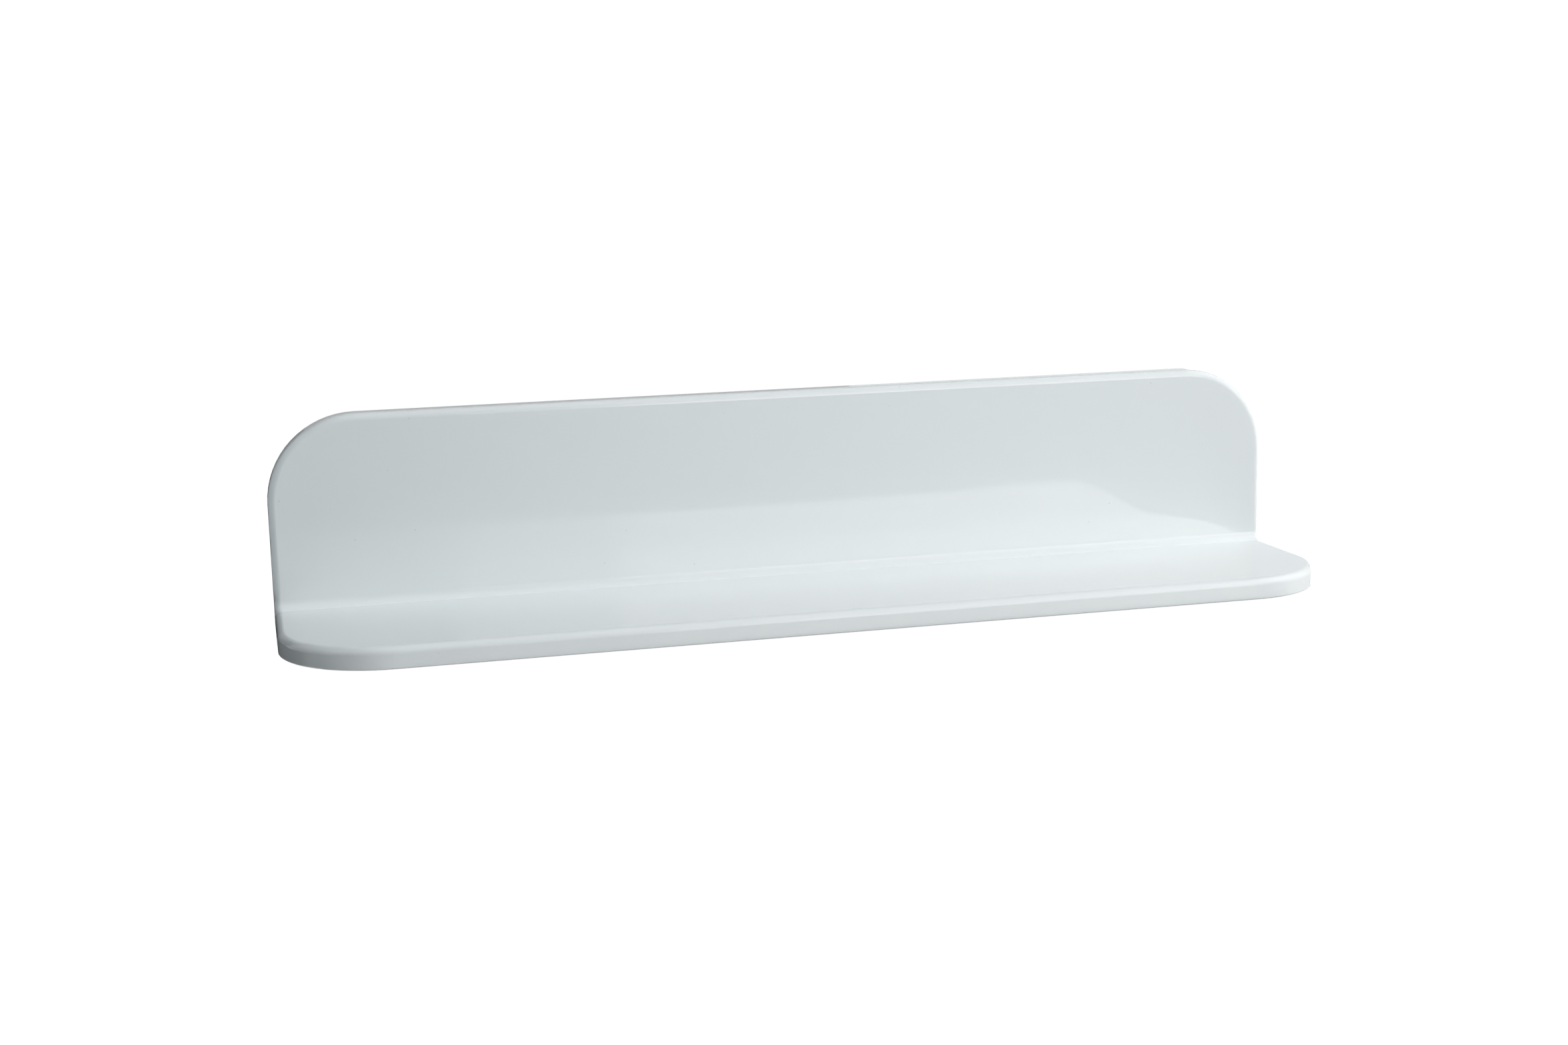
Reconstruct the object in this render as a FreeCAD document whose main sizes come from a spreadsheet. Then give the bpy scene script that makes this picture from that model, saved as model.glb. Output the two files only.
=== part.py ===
import FreeCAD, Part
import os
import Sketcher

# Gloss white floating wall shelf: a deck and a back panel of sheet, bonded over a coved strip,
# that hangs on two pairs of interlocking clips in pockets behind the panel.
# Frame in mm: +Z up, the wall is the plane Y = 0, the shelf stands out along -Y, X runs along it.
# Origin: on the wall, midway between the two wall clips, on the line of their screws.

SIZES = (
    ("shelf_length", 600.0),
    ("shelf_depth", 125.0),
    ("shelf_height", 120.0),
    ("deck_thick", 12.0),
    ("panel_thick", 12.0),
    ("panel_corner_radius", 50.0),
    ("deck_corner_radius", 57.0),
    ("edge_round", 4.0),
    ("arris", 0.6),
    ("cove_radius", 5.0),
    ("strip_rebate", 2.0),
    ("strip_lip", 1.0),
    ("strip_rise", 5.0),
    ("screw_line", 58.0),
    ("clip_inset", 100.0),
    ("clip_width", 44.0),
    ("clip_thick", 2.0),
    ("clip_base", 16.0),
    ("clip_tongue", 11.0),
    ("clip_tip_chamfer", 1.0),
    ("clip_bend", 0.5),
    ("clip_corner", 3.0),
    ("clip_play", 0.3),
    ("clip_hole", 5.0),
    ("clip_hole_spacing", 24.0),
    ("lift_travel", 13.0),
    ("pocket_side_gap", 2.0),
    ("pocket_end_gap", 1.0),
    ("pocket_corner", 4.0),
    ("insert_outer", 6.0),
    ("insert_length", 4.5),
    ("insert_groove", 0.4),
    ("insert_band", 1.5),
    ("insert_gap", 0.05),
    ("screw_shank", 4.0),
    ("screw_length", 6.0),
    ("screw_thread_gap", 0.1),
    ("screw_head", 7.6),
    ("screw_head_rise", 2.0),
    ("screw_head_round", 1.2),
    ("socket_flats", 2.5),
    ("socket_depth", 1.2),
)
size = dict(SIZES)

doc = FreeCAD.newDocument("floating_shelf")
sheet = doc.addObject("Spreadsheet::Sheet", "sizes")
for row, (alias, value) in enumerate(SIZES, start=1):
    sheet.set(f"A{row}", alias)
    sheet.set(f"B{row}", str(value))
    sheet.setAlias(f"B{row}", alias)
doc.recompute()

# Heights and depths that several pieces share, as expressions on the sheet.
UNDERSIDE = "(-sizes.screw_line)"
DECK_TOP = "(sizes.deck_thick - sizes.screw_line)"
SHELF_TOP = "(sizes.shelf_height - sizes.screw_line)"
STRIP_FOOT = "(sizes.deck_thick - sizes.strip_rebate - sizes.screw_line)"
STRIP_TOP = "(sizes.deck_thick + sizes.cove_radius + sizes.strip_rise - sizes.screw_line)"
STRIP_DEPTH = "(sizes.panel_thick + sizes.cove_radius + sizes.strip_lip)"
CLIP_OFFSET = "(sizes.clip_thick + 2 * sizes.clip_play)"
POCKET_DEPTH = "(2 * sizes.clip_thick + 3 * sizes.clip_play)"
CLIP_TIP = f"(sizes.clip_base / 2 + {CLIP_OFFSET} + sizes.clip_tongue)"
# The tongues' chamfers lie on the other clips' slopes, which sets how high the shelf's clips sit.
UPPER_LINE = f"(sizes.clip_base + {POCKET_DEPTH} - sizes.clip_tip_chamfer + sizes.clip_tongue)"
POCKET_TOP = f"({UPPER_LINE} + sizes.clip_base / 2 + sizes.pocket_end_gap)"
POCKET_FOOT = "(-sizes.clip_base / 2 - sizes.lift_travel - sizes.pocket_end_gap)"
POCKET_HALF = "(sizes.clip_width / 2 + sizes.pocket_side_gap)"
LEFT = "(sizes.clip_inset - sizes.shelf_length / 2)"
RIGHT = "(sizes.shelf_length / 2 - sizes.clip_inset)"
FIRST_HOLE = "(-sizes.clip_hole_spacing / 2)"
SECOND_HOLE = "(sizes.clip_hole_spacing / 2)"
SCREW_PLACES = [f"({side} + {hole})" for side in (LEFT, RIGHT) for hole in (FIRST_HOLE, SECOND_HOLE)]

NEAR = 1e-4
BEND_SLOPE = 45.0


def bind(item, expressions):
    for path, expression in expressions.items():
        item.setExpression(path, expression)


def new_body(name):
    return doc.addObject("PartDesign::Body", name)


def new_sketch(body, name, role):
    sketch = body.newObject("Sketcher::SketchObject", name)
    plane = [item for item in body.Origin.OriginFeatures if item.Role == role][0]
    sketch.AttachmentSupport = [(plane, "")]
    sketch.MapMode = "FlatFace"
    return sketch


def place_point(sketch, curve, point, x, y):
    for kind, expression in (("DistanceX", x), ("DistanceY", y)):
        index = sketch.addConstraint(Sketcher.Constraint(kind, curve, point, 1.0))
        sketch.setExpression(f"Constraints[{index}]", expression)


def draw_polygon(sketch, corners):
    """A closed outline whose every corner is bound to a pair of expressions."""
    first = sketch.GeometryCount
    count = len(corners)
    starts = [FreeCAD.Vector(i, i * i, 0) for i in range(count)]
    for i in range(count):
        sketch.addGeometry(Part.LineSegment(starts[i], starts[(i + 1) % count]), False)
    for i in range(count):
        following = first + (i + 1) % count
        sketch.addConstraint(Sketcher.Constraint("Coincident", first + i, 2, following, 1))
    for i, (x, y) in enumerate(corners):
        place_point(sketch, first + i, 1, x, y)


def draw_circle(sketch, x, y, diameter):
    curve = sketch.addGeometry(Part.Circle(FreeCAD.Vector(0, 0, 0), FreeCAD.Vector(0, 0, 1), 1.0), False)
    place_point(sketch, curve, 3, x, y)
    index = sketch.addConstraint(Sketcher.Constraint("Diameter", curve, 2.0))
    sketch.setExpression(f"Constraints[{index}]", diameter)


def add_pad(body, name, sketch, length):
    pad = body.newObject("PartDesign::Pad", name)
    pad.Profile = sketch
    pad.SideType = "Symmetric"
    bind(pad, {"Length": length})
    doc.recompute()
    return pad


def add_pocket(body, name, sketch, depth):
    """A pocket from the wall side into the shelf."""
    pocket = body.newObject("PartDesign::Pocket", name)
    pocket.Profile = sketch
    pocket.Reversed = True
    bind(pocket, {"Length": depth})
    doc.recompute()
    return pocket


def add_edge_feature(body, kind, name, base, edges, sizes):
    feature = body.newObject(kind, name)
    feature.Base = (base, edges)
    bind(feature, sizes)
    doc.recompute()
    return feature


def edges_where(feature, test):
    return [f"Edge{i}" for i, edge in enumerate(feature.Shape.Edges, start=1) if test(edge)]


def middle(edge):
    return edge.valueAt((edge.FirstParameter + edge.LastParameter) / 2)


def near(value, wanted):
    return abs(value - wanted) < NEAR


def spans(edge, axis):
    """True for an edge that runs along one axis only."""
    lengths = {"x": edge.BoundBox.XLength, "y": edge.BoundBox.YLength, "z": edge.BoundBox.ZLength}
    return all(near(length, 0.0) == (name != axis) for name, length in lengths.items())


def in_plane(edge, axis, level):
    return all(near(getattr(vertex.Point, axis), level) for vertex in edge.Vertexes) and near(
        getattr(middle(edge), axis), level
    )


def make_form():
    """The bonded L as one form: cove, corner rounds and the round that runs along its whole front edge."""
    half_length = size["shelf_length"] / 2
    underside = -size["screw_line"]
    deck_top = size["deck_thick"] - size["screw_line"]
    shelf_top = size["shelf_height"] - size["screw_line"]
    front = -size["shelf_depth"]
    face = -size["panel_thick"]
    body = new_body("shelf_form")
    profile = new_sketch(body, "form_profile", "YZ_Plane")
    corners = [
        ("0", UNDERSIDE),
        ("-sizes.shelf_depth", UNDERSIDE),
        ("-sizes.shelf_depth", DECK_TOP),
        ("-sizes.panel_thick", DECK_TOP),
        ("-sizes.panel_thick", SHELF_TOP),
        ("0", SHELF_TOP),
    ]
    draw_polygon(profile, corners)
    form = add_pad(body, "form_pad", profile, "sizes.shelf_length")

    def in_corner(edge):
        return spans(edge, "x") and near(middle(edge).y, face) and near(middle(edge).z, deck_top)

    def at_panel_corner(edge):
        return spans(edge, "y") and near(middle(edge).z, shelf_top)

    def at_deck_corner(edge):
        return spans(edge, "z") and near(middle(edge).y, front)

    def on_back_or_underside(edge):
        return in_plane(edge, "y", 0.0) or in_plane(edge, "z", underside)

    def on_front_edge(edge):
        point = middle(edge)
        on_rim = near(abs(point.x), half_length) or spans(edge, "x")
        on_panel = in_plane(edge, "y", face) and point.z > deck_top
        on_deck = in_plane(edge, "z", deck_top) and point.y < face
        at_cove_end = near(abs(point.x), half_length) and edge.Curve.TypeId == "Part::GeomCircle"
        inner_seam = spans(edge, "x") and point.y > front + NEAR and point.z < shelf_top - NEAR
        corner_arc = edge.Curve.TypeId == "Part::GeomCircle" and (on_panel or on_deck)
        return not inner_seam and (at_cove_end or corner_arc or on_rim and (on_panel or on_deck))

    steps = (
        ("PartDesign::Fillet", "form_cove", in_corner, {"Radius": "sizes.cove_radius"}),
        ("PartDesign::Fillet", "panel_corners", at_panel_corner, {"Radius": "sizes.panel_corner_radius"}),
        ("PartDesign::Fillet", "deck_corners", at_deck_corner, {"Radius": "sizes.deck_corner_radius"}),
        ("PartDesign::Fillet", "front_round", on_front_edge, {"Radius": "sizes.edge_round"}),
        ("PartDesign::Chamfer", "back_arris", on_back_or_underside, {"Size": "sizes.arris"}),
    )
    for kind, name, test, sizes in steps:
        form = add_edge_feature(body, kind, name, form, edges_where(form, test), sizes)
    return body


def make_block(name, depth, foot, top):
    """A block as long as the shelf that reaches from the wall plane to a depth."""
    block = doc.addObject("Part::Box", name)
    bind(
        block,
        {
            "Length": "sizes.shelf_length",
            "Width": depth,
            "Height": f"{top} - {foot}",
            "Placement.Base.x": "-sizes.shelf_length / 2",
            "Placement.Base.y": f"-{depth}",
            "Placement.Base.z": foot,
        },
    )
    return block


def make_boolean(kind, label, base, tool):
    result = doc.addObject(f"Part::{kind}", label)
    result.Base = base
    result.Tool = tool
    return result


def make_panel(blank):
    """The back panel: the form above the strip, with a pocket and two insert holes for each clip."""
    body = new_body("back_panel")
    body.BaseFeature = blank
    doc.recompute()
    outline = new_sketch(body, "pocket_outline", "XZ_Plane")
    for side in (LEFT, RIGHT):
        near_x = f"{side} - {POCKET_HALF}"
        far_x = f"{side} + {POCKET_HALF}"
        corners = [
            (near_x, POCKET_FOOT),
            (far_x, POCKET_FOOT),
            (far_x, POCKET_TOP),
            (near_x, POCKET_TOP),
        ]
        draw_polygon(outline, corners)
    pockets = add_pocket(body, "clip_pockets", outline, POCKET_DEPTH)
    depth = 2 * size["clip_thick"] + 3 * size["clip_play"]

    def at_pocket_corner(edge):
        return spans(edge, "y") and near(edge.Length, depth)

    add_edge_feature(
        body,
        "PartDesign::Fillet",
        "pocket_corners",
        pockets,
        edges_where(pockets, at_pocket_corner),
        {"Radius": "sizes.pocket_corner"},
    )
    holes = new_sketch(body, "insert_places", "XZ_Plane")
    for place in SCREW_PLACES:
        draw_circle(holes, place, UPPER_LINE, "sizes.insert_outer + 2 * sizes.insert_gap")
    add_pocket(body, "insert_holes", holes, f"{POCKET_DEPTH} + sizes.insert_length")
    return body


def make_clip(name, across, lift, hung_on_wall):
    """One clip: a base with two holes, a step of one thickness and a tongue. All four clips are alike."""
    body = new_body(name)
    profile = new_sketch(body, f"{name}_profile", "YZ_Plane")
    bend_rise = f"sizes.clip_thick * tan({BEND_SLOPE / 2} deg)"
    inner_bend = "sizes.clip_base / 2"
    outer_bend = f"{inner_bend} - {bend_rise}"
    tongue_face = f"{CLIP_OFFSET} + sizes.clip_thick"
    corners = [
        ("0", f"-{inner_bend}"),
        ("0", inner_bend),
        (f"-{CLIP_OFFSET}", f"{inner_bend} + {CLIP_OFFSET}"),
        (f"-{CLIP_OFFSET}", f"{CLIP_TIP} - sizes.clip_tip_chamfer"),
        (f"-{CLIP_OFFSET} - sizes.clip_tip_chamfer", CLIP_TIP),
        (f"-({tongue_face})", CLIP_TIP),
        (f"-({tongue_face})", f"{outer_bend} + {CLIP_OFFSET}"),
        ("-sizes.clip_thick", outer_bend),
        ("-sizes.clip_thick", f"-{inner_bend}"),
    ]
    draw_polygon(profile, corners)
    clip = add_pad(body, f"{name}_pad", profile, "sizes.clip_width")
    half_base = size["clip_base"] / 2
    offset = size["clip_thick"] + 2 * size["clip_play"]
    tip = half_base + offset + size["clip_tongue"]
    thick = size["clip_thick"]

    def along_bend(edge, depths):
        point = middle(edge)
        is_bend = -half_base + NEAR < point.z < tip - size["clip_tip_chamfer"] - NEAR
        return spans(edge, "x") and is_bend and any(near(point.y, -depth) for depth in depths)

    def on_base_corner(edge):
        return spans(edge, "y") and near(middle(edge).z, -half_base)

    inside = edges_where(clip, lambda edge: along_bend(edge, (offset, thick)))
    clip = add_edge_feature(
        body, "PartDesign::Fillet", f"{name}_inside_bends", clip, inside, {"Radius": "sizes.clip_bend"}
    )
    outside = edges_where(clip, lambda edge: along_bend(edge, (0.0, offset + thick)))
    clip = add_edge_feature(
        body,
        "PartDesign::Fillet",
        f"{name}_outside_bends",
        clip,
        outside,
        {"Radius": "sizes.clip_bend + sizes.clip_thick"},
    )
    corner_edges = edges_where(clip, on_base_corner)
    add_edge_feature(
        body, "PartDesign::Fillet", f"{name}_corners", clip, corner_edges, {"Radius": "sizes.clip_corner"}
    )
    holes = new_sketch(body, f"{name}_hole_places", "XZ_Plane")
    for place in (FIRST_HOLE, SECOND_HOLE):
        draw_circle(holes, place, "0", "sizes.clip_hole")
    add_pocket(body, f"{name}_holes", holes, "sizes.clip_thick")
    bind(body, {"Placement.Base.x": across})
    if not hung_on_wall:
        body.Placement.Rotation = FreeCAD.Rotation(FreeCAD.Vector(1, 0, 0), 180)
        bind(body, {"Placement.Base.y": f"-{POCKET_DEPTH}", "Placement.Base.z": lift})
    return body


def add_turned(body, name, corners):
    """A piece turned about the Y axis, from an outline in depth and radius."""
    profile = new_sketch(body, f"{name}_profile", "YZ_Plane")
    draw_polygon(profile, corners)
    turned = body.newObject("PartDesign::Revolution", f"{name}_turned")
    turned.Profile = profile
    turned.ReferenceAxis = (profile, ["H_Axis"])
    doc.recompute()
    return turned


def make_screw(name, place):
    """A button-head screw with a hexagon socket, its head's underside at the body's own origin."""
    body = new_body(name)
    shank = "sizes.screw_shank / 2"
    head = "sizes.screw_head / 2"
    corners = [
        ("-sizes.screw_length", "0"),
        ("-sizes.screw_length", shank),
        ("0", shank),
        ("0", head),
        ("sizes.screw_head_rise", head),
        ("sizes.screw_head_rise", "0"),
    ]
    turned = add_turned(body, name, corners)

    def on_head_rim(edge):
        return in_plane(edge, "y", size["screw_head_rise"]) and near(edge.BoundBox.XLength, size["screw_head"])

    rim = edges_where(turned, on_head_rim)
    add_edge_feature(
        body, "PartDesign::Fillet", f"{name}_crown", turned, rim, {"Radius": "sizes.screw_head_round"}
    )
    socket = new_sketch(body, f"{name}_socket_outline", "XZ_Plane")
    bind(socket, {"AttachmentOffset.Base.z": "-sizes.screw_head_rise"})
    reach = "sizes.socket_flats / 2 / cos(30 deg)"
    corners = [(f"{reach} * cos({60 * i} deg)", f"{reach} * sin({60 * i} deg)") for i in range(6)]
    draw_polygon(socket, corners)
    add_pocket(body, f"{name}_socket", socket, "sizes.socket_depth")
    bind(
        body,
        {
            "Placement.Base.x": place,
            "Placement.Base.y": f"sizes.clip_thick - {POCKET_DEPTH}",
            "Placement.Base.z": UPPER_LINE,
        },
    )
    return body


def make_insert(name, place):
    """A threaded insert: a sleeve with two bands and a groove between them."""
    body = new_body(name)
    bore = "sizes.screw_shank / 2 + sizes.screw_thread_gap"
    outer = "sizes.insert_outer / 2"
    waist = f"{outer} - sizes.insert_groove"
    corners = [
        ("0", bore),
        ("0", outer),
        ("-sizes.insert_band", outer),
        ("-sizes.insert_band", waist),
        ("sizes.insert_band - sizes.insert_length", waist),
        ("sizes.insert_band - sizes.insert_length", outer),
        ("-sizes.insert_length", outer),
        ("-sizes.insert_length", bore),
    ]
    add_turned(body, name, corners)
    bind(
        body,
        {
            "Placement.Base.x": place,
            "Placement.Base.y": f"-{POCKET_DEPTH}",
            "Placement.Base.z": UPPER_LINE,
        },
    )
    return body


def make_group(label, pieces):
    group = doc.addObject("Part::Compound", label)
    group.Links = pieces
    return group


form = make_form()
strip_block = make_block("strip_block", STRIP_DEPTH, STRIP_FOOT, STRIP_TOP)
deck_block = make_block("deck_block", "sizes.shelf_depth", UNDERSIDE, DECK_TOP)
panel_block = make_block("panel_block", "sizes.shelf_depth", STRIP_TOP, SHELF_TOP)
cove_strip = make_boolean("Common", "cove_strip", form, strip_block)
deck_blank = make_boolean("Common", "deck_blank", form, deck_block)
shelf_deck = make_boolean("Cut", "shelf_deck", deck_blank, strip_block)
panel_blank = make_boolean("Common", "panel_blank", form, panel_block)
back_panel = make_panel(panel_blank)
clips = [
    make_clip("wall_clip_left", LEFT, "0", True),
    make_clip("wall_clip_right", RIGHT, "0", True),
    make_clip("shelf_clip_left", LEFT, UPPER_LINE, False),
    make_clip("shelf_clip_right", RIGHT, UPPER_LINE, False),
]
screws = [make_screw(f"clip_screw_{i}", place) for i, place in enumerate(SCREW_PLACES, start=1)]
inserts = [make_insert(f"threaded_insert_{i}", place) for i, place in enumerate(SCREW_PLACES, start=1)]
clip_screws = make_group("clip_screws", screws)
threaded_inserts = make_group("threaded_inserts", inserts)
doc.recompute()

for item in doc.Objects:
    if "Invalid" in item.State or "Error" in item.State:
        raise RuntimeError(f"{item.Name} doesn't build")

os.makedirs("parts", exist_ok=True)
for item in (shelf_deck, cove_strip, back_panel, *clips, clip_screws, threaded_inserts):
    if item.Shape.isNull() or not item.Shape.isValid():
        raise RuntimeError(f"{item.Label} has no valid shape")
    item.Shape.exportStep(f"parts/{item.Label}.step")
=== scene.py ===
import math

import bpy
from mathutils import Matrix, Vector


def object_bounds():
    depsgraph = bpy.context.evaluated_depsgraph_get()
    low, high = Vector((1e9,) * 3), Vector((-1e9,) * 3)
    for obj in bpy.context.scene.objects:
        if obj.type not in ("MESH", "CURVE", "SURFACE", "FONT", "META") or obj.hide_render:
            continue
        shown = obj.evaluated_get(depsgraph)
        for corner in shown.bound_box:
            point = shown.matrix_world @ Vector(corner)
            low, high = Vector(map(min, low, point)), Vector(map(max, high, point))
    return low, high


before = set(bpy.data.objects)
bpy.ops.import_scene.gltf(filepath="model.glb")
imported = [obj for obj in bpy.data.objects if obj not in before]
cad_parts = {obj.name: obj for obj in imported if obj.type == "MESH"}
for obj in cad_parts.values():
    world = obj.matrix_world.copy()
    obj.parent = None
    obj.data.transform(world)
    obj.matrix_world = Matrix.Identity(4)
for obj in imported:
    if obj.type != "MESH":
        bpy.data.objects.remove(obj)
CAD_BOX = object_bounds()

# Camera of the photograph, in metres and degrees: turned right of +Y, tipped down, rolled clockwise.
CAMERA_PLACE = Vector((-0.30912, -1.20742, 0.20313))
CAMERA_TURN = 14.2285
CAMERA_DIP = 10.0604
CAMERA_ROLL = 1.3287
SENSOR_WIDTH = 36.0
FOCAL_PIXELS = 3193.9
PHOTO_WIDTH = 2352

# The acrylic sheet. Colours are linear, scales and grain are features per metre, depths are in metres.
SHEET_NODES = ("shelf_deck", "cove_strip", "back_panel")
SHEET_IOR = 1.5
CLOUD_SCALE = 9.0
CLOUD_COLOURS = (0.800, 0.843, 0.850), (0.812, 0.852, 0.857)
SPECK_COLOUR = (0.70, 0.74, 0.75)
SPECK_SCALE = 150.0
SPECK_SIZE = 0.075
SPECK_RARITY = 0.92
HAZE_SCALE = 60.0
HAZE_ROUGHNESS = 0.035, 0.065
WAVE_SCALE = 14.0
WAVE_DEPTH = 0.0006
WAVE_STRENGTH = 0.12
PEEL_SCALE = 420.0
PEEL_DEPTH = 0.000005
PEEL_STRENGTH = 0.5
# Where the sheet's normal lies between these parts of straight back or down, the gloss turns into the sanded finish.
SANDED_START = 0.75
SANDED_FULL = 0.95
SANDED_ROUGHNESS = 0.4
SCRATCH_GRAIN = (50.0, 1600.0, 1600.0)
SCRATCH_DEPTH = 0.00002
SCRATCH_STRENGTH = 0.5

# Nodes, name, colour, shade, grain and roughness of each metal.
CLIP_NODES = ("wall_clip_left", "wall_clip_right", "shelf_clip_left", "shelf_clip_right")
METALS = (
    (CLIP_NODES, "clip_steel", (0.70, 0.71, 0.72), (0.52, 0.53, 0.55), (60.0, 900.0, 900.0), 0.32),
    (("clip_screws",), "screw_steel", (0.66, 0.66, 0.66), (0.5, 0.5, 0.5), (900.0, 900.0, 900.0), 0.25),
    (("threaded_inserts",), "insert_brass", (0.8, 0.62, 0.3), (0.6, 0.45, 0.2), (900.0, 900.0, 900.0), 0.3),
)
BLOTCH_SCALE = 180.0
GRAIN_DEPTH = 0.00002
GRAIN_STRENGTH = 0.4
ROUGHNESS_SPREAD = 0.08

# The studio, in metres. The floor and the backdrop are a box of paper, and the boards lie beside the shelf.
FLOOR_DROP = 1.8
STUDIO_REACH = 8.0
PAPER_LOOK = {
    "roughness": 0.9,
    "base_color": (0.9, 0.9, 0.9),
    "emission_color": (1.0, 1.0, 1.0),
    "emission_strength": 1.0,
}
BOARD_LEVEL = -0.0585
BOARD_COLOUR = (0.80, 0.82, 0.83)
TABLE_EDGE = (
    (-0.25, -0.134), (-0.33, -0.20), (-0.33, -0.318), (0.20, -0.328), (0.300, -0.352), (0.316, -0.330), (0.295, -0.134),
)
TABLE_LOOK = {"roughness": 0.2, "base_color": BOARD_COLOUR, "ior": 1.28}
SIDE_EDGE = ((-0.40, 0.15), (-1.20, 0.15), (-1.20, -0.12), (-0.40, -0.12))
# The side board glows: a hidden light that stands in for a board lit by the lamps, and the shelf mirrors it and gets
# light from it.
SIDE_LOOK = {
    "roughness": 0.5,
    "base_color": BOARD_COLOUR,
    "emission_color": (0.8, 0.95, 1.0),
    "emission_strength": 0.75,
}
WORLD_COLOUR = (0.9, 0.95, 1.0, 1.0)
WORLD_GLOW = 0.02

# Name, azimuth from the front (positive to the right), elevation, width and height in degrees, and the glow in red,
# green and blue. The lamps light the shelf, and the cards are what its gloss mirrors.
STUDIO_MIDDLE = Vector((0.0, -0.06, 0.0))
STUDIO_RADIUS = 1.5
LAMPS = (
    ("overhead_left", -40, 55, 56, 22, (1.92, 2.08, 2.17)),
    ("overhead_right", 45, 58, 56, 24, (2.31, 2.31, 2.32)),
    ("right_wall", 72, 24, 46, 44, (2.80, 2.72, 2.69)),
    ("front_right", 22, 10, 40, 20, (3.13, 3.20, 3.24)),
    ("front_low", 5, -28, 70, 30, (0.65, 0.65, 0.65)),
    ("rear_low", 180, -30, 100, 46, (2.4, 2.4, 2.4)),
    ("underneath", 0, -88, 60, 50, (1.2, 1.2, 1.2)),
)
CARDS = (
    ("window", 22, 7.5, 32, 13, (4.13, 3.69, 3.32)),
    ("window_frame", 2, 7.5, 8, 13, (1.8, 1.65, 1.55)),
    ("front_wall", -24, 7.5, 44, 13, (0.12, 0.16, 0.25)),
    ("window_top", 26, 29, 30, 26, (1.15, 1.1, 1.05)),
    ("sky_left", -22, 29, 62, 26, (0.12, 0.12, 0.12)),
    ("sky_right", 51, 29, 18, 26, (0.7, 0.7, 0.7)),
    ("sky_high", 5, 58, 120, 32, (0.36, 0.31, 0.28)),
    ("ceiling", 0, 85, 40, 20, (0.45, 0.45, 0.45)),
    ("ceiling_back", 180, 79, 60, 10, (1.0, 1.0, 1.0)),
    ("back_high", 180, 47, 70, 50, (0.4, 0.4, 0.4)),
    ("right_high", 82, 30, 44, 50, (1.0, 1.0, 1.0)),
    ("right_back", 119, 24, 32, 40, (0.7, 0.7, 0.7)),
    ("right_low", 95, -6, 50, 20, (0.97, 0.97, 0.97)),
    ("right_corner", 138, -6, 36, 20, (2.4, 2.4, 2.4)),
    ("back_right", 148, 12, 30, 16, (0.84, 0.88, 0.89)),
    ("back_wall", 180, 8, 34, 24, (0.45, 0.45, 0.45)),
    ("back_left", -148, 8, 40, 24, (0.2, 0.2, 0.2)),
    ("left_low", -95, -2.7, 60, 13.4, (0.9, 0.9, 0.9)),
    ("left_high", -90, 25, 60, 42, (1.0, 1.0, 1.0)),
    ("left_gap", -90, -13, 14, 8, (0.35, 0.35, 0.35)),
    ("left_deep", -64, -29, 44, 24, (0.7, 0.7, 0.7)),
    ("left_deep_back", -106, -29, 44, 24, (0.7, 0.7, 0.7)),
    ("right_deep", 64, -29, 44, 24, (0.7, 0.7, 0.7)),
    ("right_deep_back", 106, -29, 44, 24, (0.7, 0.7, 0.7)),
    ("rear_card", 180, -31, 60, 30, (0.85, 0.85, 0.85)),
    ("rear_left", -150, -34, 40, 30, (0.85, 0.85, 0.85)),
    ("rear_right", 150, -24, 40, 34, (0.85, 0.85, 0.85)),
    ("rear_middle", 168, -11, 28, 14, (0.7, 0.7, 0.7)),
)


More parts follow.
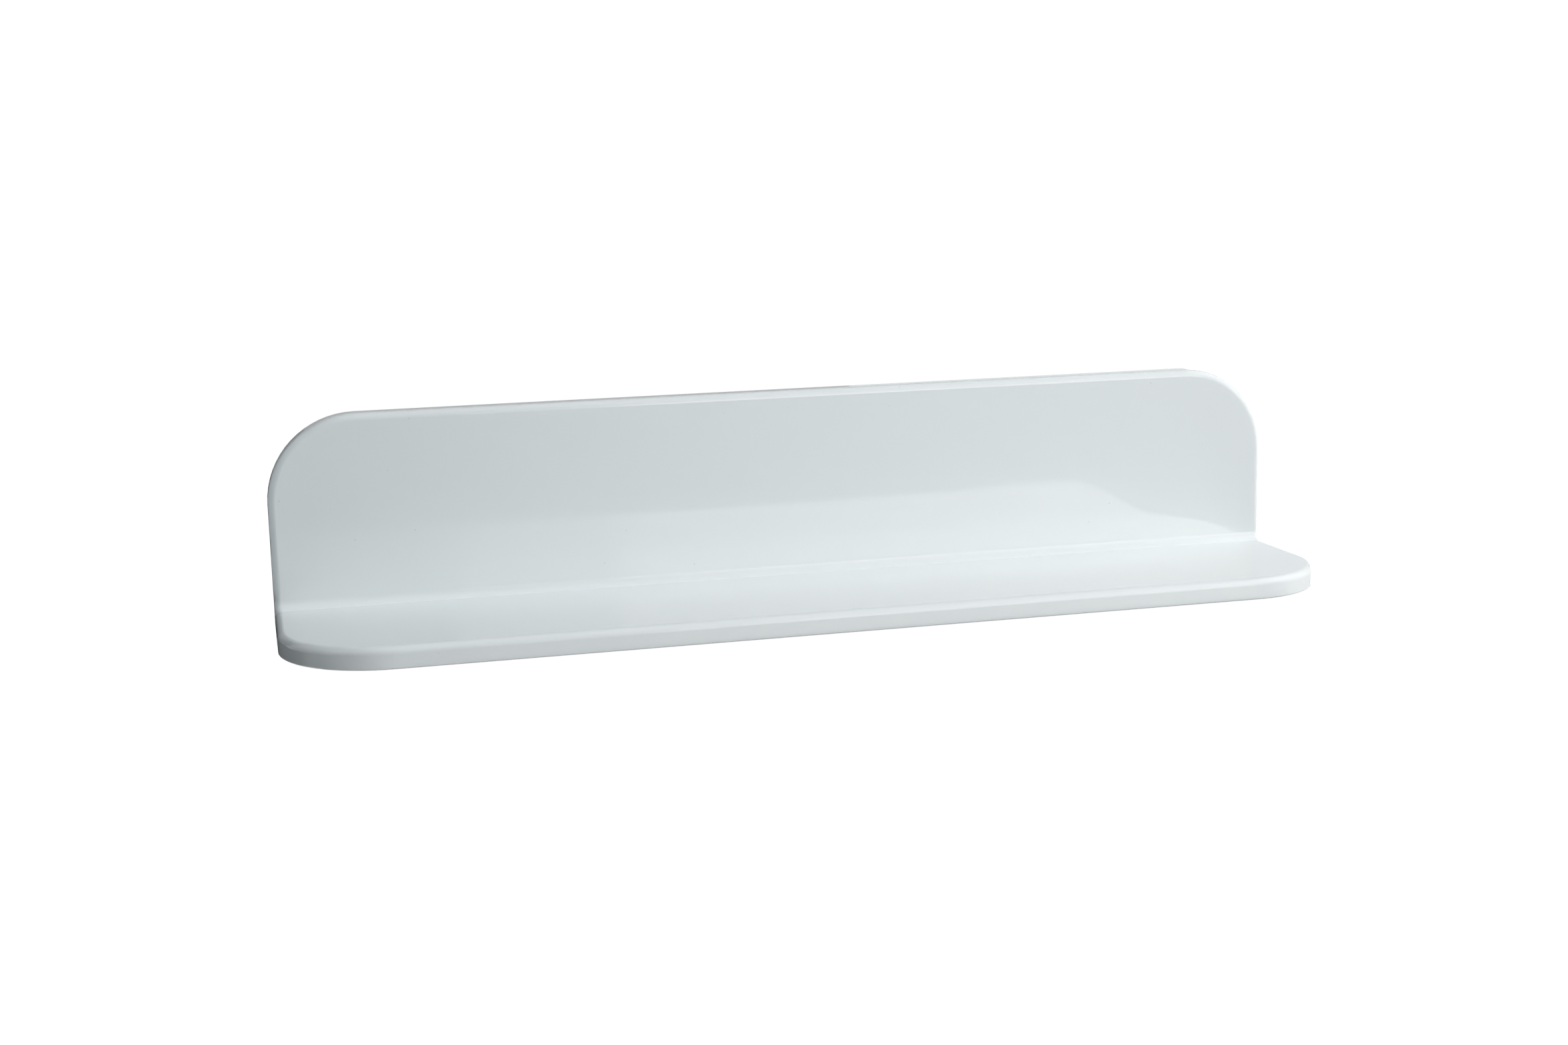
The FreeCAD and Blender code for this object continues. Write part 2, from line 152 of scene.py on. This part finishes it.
class Shader:
    """A node material with one Principled shader, and short calls to add nodes to it."""

    def __init__(self, name, **values):
        self.material = bpy.data.materials.new(name)
        self.material.use_nodes = True
        self.nodes = self.material.node_tree.nodes
        self.links = self.material.node_tree.links
        self.surface = self.nodes["Principled BSDF"]
        self.set(**values)

    def add(self, kind, **settings):
        node = self.nodes.new(kind)
        for key, value in settings.items():
            setattr(node, key, value)
        return node

    def put(self, value, socket):
        """Links another node's output to a socket, or sets the socket's own number or colour."""
        if isinstance(value, bpy.types.NodeSocket):
            self.links.new(value, socket)
        else:
            socket.default_value = (*value, 1.0) if socket.type == "RGBA" else value

    def set(self, **values):
        """Feeds sockets of the Principled shader, named as in base_color."""
        for name, value in values.items():
            self.put(value, self.surface.inputs[name.replace("_", " ").title().replace("Ior", "IOR")])

    def noise(self, where, scale, detail, roughness=0.5):
        node = self.add("ShaderNodeTexNoise")
        for name, value in (("Vector", where), ("Scale", scale), ("Detail", detail), ("Roughness", roughness)):
            self.put(value, node.inputs[name])
        return node.outputs["Fac"]

    def grain_noise(self, where, grain, detail, roughness=0.5):
        """Noise with its own number of features per metre along X, Y and Z."""
        node = self.add("ShaderNodeMapping")
        self.put(where, node.inputs["Vector"])
        self.put(grain, node.inputs["Scale"])
        return self.noise(node.outputs["Vector"], 1.0, detail, roughness)

    def spread(self, value, low, high, start=0.0, end=1.0):
        """Maps value from start..end onto low..high."""
        node = self.add("ShaderNodeMapRange")
        for name, number in (("From Min", start), ("From Max", end), ("To Min", low), ("To Max", high)):
            self.put(number, node.inputs[name])
        self.put(value, node.inputs["Value"])
        return node.outputs["Result"]

    def maths(self, operation, first, second):
        node = self.add("ShaderNodeMath", operation=operation)
        self.put(first, node.inputs[0])
        self.put(second, node.inputs[1])
        return node.outputs["Value"]

    def mix_colour(self, factor, first, second):
        node = self.add("ShaderNodeMix", data_type="RGBA")
        self.put(factor, node.inputs["Factor"])
        for name, value in (("A", first), ("B", second)):
            self.put(value, [s for s in node.inputs if s.name == name and s.type == "RGBA"][0])
        return [s for s in node.outputs if s.type == "RGBA"][0]

    def bump(self, height, depth, strength, normal=None):
        """A bump, on top of the one that normal comes from."""
        node = self.add("ShaderNodeBump")
        for name, value in (("Height", height), ("Distance", depth), ("Strength", strength), ("Normal", normal)):
            if value is not None:
                self.put(value, node.inputs[name])
        return node.outputs["Normal"]

    def specks(self, where, scale, size, rarity):
        """Sparse small dots: one in a few of the cells that scale gives."""
        node = self.add("ShaderNodeTexVoronoi")
        self.put(scale, node.inputs["Scale"])
        self.put(where, node.inputs["Vector"])
        chance = self.add("ShaderNodeSeparateColor")
        self.put(node.outputs["Color"], chance.inputs["Color"])
        near = self.maths("LESS_THAN", node.outputs["Distance"], size)
        return self.maths("MULTIPLY", near, self.maths("GREATER_THAN", chance.outputs["Red"], rarity))


def make_sheet():
    """Acrylic sheet: polished to a gloss on the show faces, sanded on the back and the underside."""
    shader = Shader("white_sheet", ior=SHEET_IOR)
    places = shader.add("ShaderNodeTexCoord").outputs
    where = places["Object"]

    tint = shader.mix_colour(shader.noise(where, CLOUD_SCALE, detail=3.0), *CLOUD_COLOURS)
    specks = shader.specks(where, SPECK_SCALE, SPECK_SIZE, SPECK_RARITY)

    normal = shader.add("ShaderNodeSeparateXYZ")
    shader.put(places["Normal"], normal.inputs["Vector"])
    back = shader.spread(normal.outputs["Y"], 0.0, 1.0, SANDED_START, SANDED_FULL)
    under = shader.spread(normal.outputs["Z"], 1.0, 0.0, -SANDED_FULL, -SANDED_START)
    sanded = shader.maths("MAXIMUM", back, under)
    haze = shader.spread(shader.noise(where, HAZE_SCALE, detail=3.0), *HAZE_ROUGHNESS)
    matt = shader.maths("MULTIPLY", sanded, SANDED_ROUGHNESS)

    wave = shader.bump(shader.noise(where, WAVE_SCALE, detail=1.0), WAVE_DEPTH, WAVE_STRENGTH)
    peel = shader.bump(shader.noise(where, PEEL_SCALE, detail=2.0), PEEL_DEPTH, PEEL_STRENGTH, wave)
    scratch = shader.grain_noise(where, SCRATCH_GRAIN, detail=3.0)
    scratches = shader.bump(scratch, SCRATCH_DEPTH, shader.maths("MULTIPLY", sanded, SCRATCH_STRENGTH), peel)

    shader.set(
        base_color=shader.mix_colour(specks, tint, SPECK_COLOUR),
        roughness=shader.maths("ADD", haze, matt),
        normal=scratches,
    )
    return shader.material


def make_metal(name, colour, shade, grain, rough):
    """Plated or turned metal with a fine grain."""
    shader = Shader(name, metallic=1.0)
    where = shader.add("ShaderNodeTexCoord").outputs["Object"]
    streak = shader.grain_noise(where, grain, detail=4.0, roughness=0.6)
    mixed = shader.maths("MULTIPLY", streak, shader.noise(where, BLOTCH_SCALE, detail=3.0))
    shader.set(
        base_color=shader.mix_colour(shader.spread(mixed, 0.0, 1.0, start=0.1, end=0.5), shade, colour),
        roughness=shader.spread(streak, rough - ROUGHNESS_SPREAD, rough + ROUGHNESS_SPREAD, start=0.3, end=0.7),
        normal=shader.bump(streak, GRAIN_DEPTH, GRAIN_STRENGTH),
    )
    return shader.material


def dress(nodes, material):
    for name in nodes:
        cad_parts[name].data.materials.clear()
        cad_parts[name].data.materials.append(material)


def make_stage_piece(name, corners, faces, material):
    """A piece of the studio, which isn't part of the shelf."""
    mesh = bpy.data.meshes.new(name)
    mesh.from_pydata(corners, [], faces)
    mesh.materials.append(material)
    piece = bpy.data.objects.new(name, mesh)
    bpy.context.collection.objects.link(piece)
    return piece


def make_studio(level):
    """A pale floor and backdrop that only the camera sees."""
    paper = Shader("studio_paper", **PAPER_LOOK)
    sides = ((-1, -1), (1, -1), (1, 1), (-1, 1))
    ground = [(x * STUDIO_REACH, y * STUDIO_REACH, level) for x, y in sides]
    roof = [(x, y, STUDIO_REACH) for x, y, _ in ground]
    walls = [(0, 1, 5, 4), (1, 2, 6, 5), (2, 3, 7, 6), (3, 0, 4, 7), (4, 5, 6, 7)]
    floor = make_stage_piece("floor", ground, [(0, 1, 2, 3)], paper.material)
    backdrop = make_stage_piece("backdrop", ground + roof, walls, paper.material)
    for piece in (floor, backdrop):
        piece.visible_diffuse = False
        piece.visible_glossy = False
        piece.visible_shadow = False


def make_board(name, edge, shader):
    """A pale board that the camera doesn't see. The shelf mirrors it and gets light from it."""
    shader.material.cycles.emission_sampling = "NONE"
    corners = [(x, y, BOARD_LEVEL) for x, y in edge]
    board = make_stage_piece(name, corners, [tuple(range(len(corners)))], shader.material)
    board.visible_camera = False


def around(azimuth, elevation):
    """The way from the shelf to a place in the studio."""
    turn, rise = math.radians(azimuth), math.radians(elevation)
    return Vector((math.sin(turn) * math.cos(rise), -math.cos(turn) * math.cos(rise), math.sin(rise)))


def span(angle):
    """The width in metres that takes up an angle, seen from the studio's middle."""
    return 2 * STUDIO_RADIUS * math.tan(math.radians(angle / 2))


def make_lamp(name, azimuth, elevation, wide, high, glow):
    """A softbox that lights the shelf and isn't mirrored in it."""
    towards = around(azimuth, elevation)
    light = bpy.data.lights.new(name, "AREA")
    light.shape = "RECTANGLE"
    light.size = span(wide)
    light.size_y = span(high)
    peak = max(glow)
    light.color = [part / peak for part in glow]
    light.energy = peak * math.pi * light.size * light.size_y
    lamp = bpy.data.objects.new(name, light)
    lamp.location = STUDIO_MIDDLE + STUDIO_RADIUS * towards
    lamp.rotation_euler = (-towards).to_track_quat("-Z", "Y").to_euler()
    lamp.visible_camera = False
    lamp.visible_glossy = False
    bpy.context.collection.objects.link(lamp)


def make_card(name, azimuth, elevation, wide, high, glow):
    """A glowing card that is only mirrored in the shelf."""
    towards = around(azimuth, elevation)
    face = (-towards).to_track_quat("-Z", "Y").to_matrix()
    across, up = face.col[0] * span(wide) / 2, face.col[1] * span(high) / 2
    middle = STUDIO_MIDDLE + STUDIO_RADIUS * towards
    corners = [middle + x * across + y * up for x, y in ((-1, -1), (1, -1), (1, 1), (-1, 1))]
    paper = Shader(name, base_color=(0.0, 0.0, 0.0), specular_ior_level=0.0)
    paper.set(emission_color=glow, emission_strength=1.0)
    paper.material.cycles.emission_sampling = "NONE"
    card = make_stage_piece(name, corners, [(0, 1, 2, 3)], paper.material)
    card.visible_camera = False
    card.visible_diffuse = False
    card.visible_shadow = False


def make_camera():
    camera = bpy.data.objects.new("camera", bpy.data.cameras.new("camera"))
    camera.data.sensor_fit = "HORIZONTAL"
    camera.data.sensor_width = SENSOR_WIDTH
    camera.data.lens = SENSOR_WIDTH * FOCAL_PIXELS / PHOTO_WIDTH
    turn = Matrix.Rotation(math.radians(-CAMERA_TURN), 4, "Z")
    tip = Matrix.Rotation(math.radians(90.0 - CAMERA_DIP), 4, "X")
    roll = Matrix.Rotation(math.radians(-CAMERA_ROLL), 4, "Z")
    camera.matrix_world = Matrix.Translation(CAMERA_PLACE) @ turn @ tip @ roll
    bpy.context.collection.objects.link(camera)
    bpy.context.scene.camera = camera


def make_world():
    world = bpy.data.worlds.new("studio")
    world.use_nodes = True
    background = world.node_tree.nodes["Background"].inputs
    background["Color"].default_value = WORLD_COLOUR
    background["Strength"].default_value = WORLD_GLOW
    bpy.context.scene.world = world


dress(SHEET_NODES, make_sheet())
for nodes, *look in METALS:
    dress(nodes, make_metal(*look))

make_studio(CAD_BOX[0][2] - FLOOR_DROP)
make_board("table", TABLE_EDGE, Shader("white_table", **TABLE_LOOK))
make_board("side_board", SIDE_EDGE, Shader("side_board", **SIDE_LOOK))
make_world()
for row in LAMPS:
    make_lamp(*row)
for row in CARDS:
    make_card(*row)
make_camera()
bpy.context.scene.view_settings.view_transform = "Standard"
